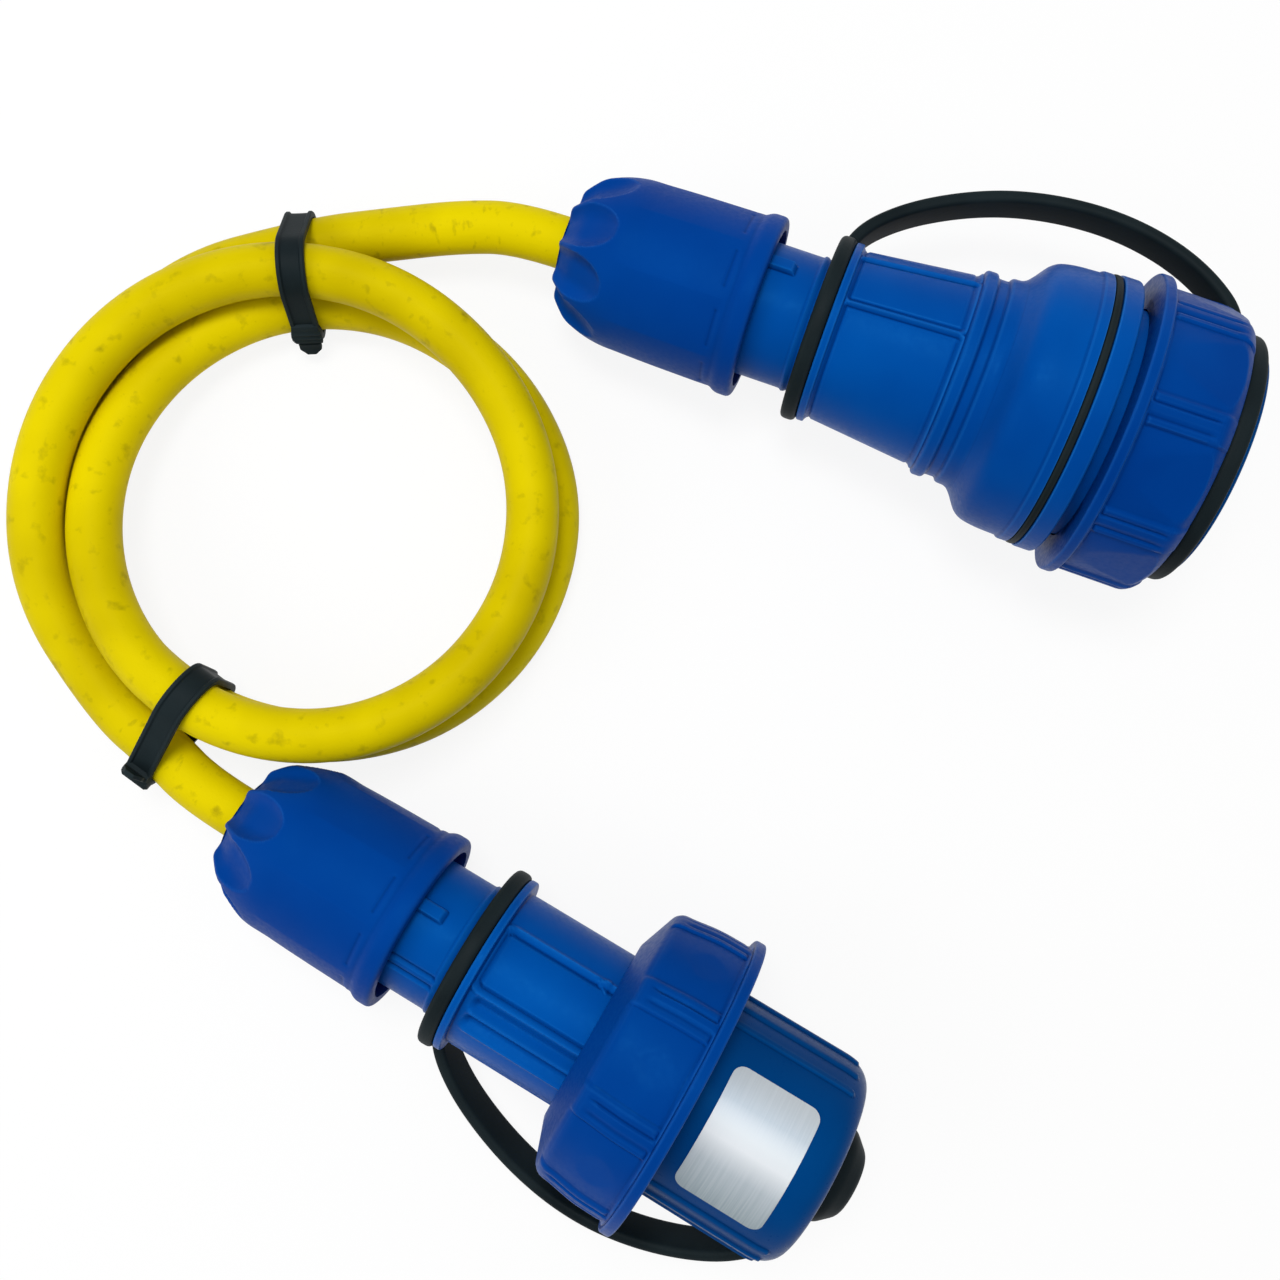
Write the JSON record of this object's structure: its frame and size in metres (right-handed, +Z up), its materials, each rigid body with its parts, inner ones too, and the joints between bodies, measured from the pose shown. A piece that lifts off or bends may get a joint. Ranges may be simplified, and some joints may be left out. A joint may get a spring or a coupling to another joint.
{
  "type": "shore power cord",
  "caption": "Earthed extension lead: coiled rubber cable with a capped plug and a lidded socket, gland nuts, coupling rings and tethers.",
  "frame": {"origin": "on the surface the lead lies on, under the middle of the plug and socket heads together", "axes": "+Z up from the surface, +Y away from the viewer, +X to the viewer's right, as pictured from above"},
  "size_m": [0.2597, 0.2302, 0.0644],
  "materials": {
    "blue_shell": "moulded, faintly glossy",
    "lid_shell": "moulded, faintly glossy",
    "carrier_plastic": "moulded",
    "clamp_plastic": "moulded nylon",
    "contact_brass": "turned and stamped",
    "screw_steel": "zinc plated",
    "black_rubber": "matt",
    "cable_sheath": "matt, faintly sheened",
    "core_insulation": "smooth",
    "foil": "brushed foil, bare"
  },
  "bodies": {
    "cord_set": {"plug_gland_seal": "black_rubber", "plug_sheath_end": "cable_sheath", "plug_core_wires": "core_insulation", "plug_terminal_screws": "screw_steel", "plug_housing": "blue_shell", "plug_contact_carrier": "carrier_plastic", "plug_earth_strips": "contact_brass", "plug_tether": "black_rubber", "plug_live_pin": "contact_brass", "plug_neutral_pin": "contact_brass", "plug_face_seal": "black_rubber", "socket_gland_seal": "black_rubber", "socket_sheath_end": "cable_sheath", "socket_core_wires": "core_insulation", "socket_terminal_screws": "screw_steel", "socket_housing": "blue_shell", "socket_contact_carrier": "carrier_plastic", "socket_earth_strips": "contact_brass", "socket_tether": "black_rubber", "socket_live_contact": "contact_brass", "socket_neutral_contact": "contact_brass", "collar_oring": "black_rubber", "plug_cable_lead": "cable_sheath", "cable_coil": "cable_sheath", "socket_cable_lead": "cable_sheath", "upper_tie": "black_rubber", "lower_tie": "black_rubber"},
    "plug_clamp": {"plug_thrust_washer": "clamp_plastic", "plug_clamp_cage": "clamp_plastic"},
    "plug_nut": {"plug_gland_nut": "blue_shell"},
    "plug_ring": {"plug_coupling_ring": "blue_shell"},
    "pin_cap": {"plug_cap": "blue_shell", "cap_label": "foil"},
    "socket_clamp": {"socket_thrust_washer": "clamp_plastic", "socket_clamp_cage": "clamp_plastic"},
    "socket_nut": {"socket_gland_nut": "blue_shell"},
    "lid": {"socket_lid": "lid_shell", "lid_seal": "black_rubber"},
    "lid_ring": {"lid_coupling_ring": "blue_shell"}
  },
  "joints": [
    {"name": "plug_clamp_slide", "type": "slide", "parent": "cord_set", "child": "plug_clamp", "axis": [-0.8554, 0.4959, -0.1496], "range_m": [0, 0.003]},
    {"name": "plug_nut_turn", "type": "hinge", "parent": "plug_clamp", "child": "plug_nut", "pos_m": [-0.08475, -0.03078, 0.01893], "axis": [-0.8554, 0.4959, -0.1496], "range_deg": [0, 540]},
    {"name": "socket_clamp_slide", "type": "slide", "parent": "cord_set", "child": "socket_clamp", "axis": [-0.9297, 0.3439, -0.1316], "range_m": [0, 0.003]},
    {"name": "socket_nut_turn", "type": "hinge", "parent": "socket_clamp", "child": "socket_nut", "pos_m": [-0.01577, 0.09506, 0.01879], "axis": [-0.9297, 0.3439, -0.1316], "range_deg": [0, 540]},
    {"name": "plug_ring_turn", "type": "hinge", "parent": "cord_set", "child": "plug_ring", "pos_m": [-0.0206, -0.06797, 0.03015], "axis": [0.8554, -0.4959, 0.1496], "range_deg": [0, 60]},
    {"name": "cap_slide", "type": "slide", "parent": "cord_set", "child": "pin_cap", "axis": [0.8554, -0.4959, 0.1496], "range_m": [0, 0.04], "deforming": ["plug_tether"]},
    {"name": "lid_slide", "type": "slide", "parent": "cord_set", "child": "lid", "axis": [0.9297, -0.3439, 0.1316], "range_m": [0, 0.025], "deforming": ["socket_tether"]},
    {"name": "lid_ring_turn", "type": "hinge", "parent": "lid", "child": "lid_ring", "pos_m": [0.08465, 0.05792, 0.033], "axis": [0.9297, -0.3439, 0.1316], "range_deg": [0, 60]}
  ],
  "couplings": [
    {"joint": "plug_clamp_slide", "follows": "plug_nut_turn", "m_per_rad": 0.000318},
    {"joint": "socket_clamp_slide", "follows": "socket_nut_turn", "m_per_rad": 0.000318}
  ]
}
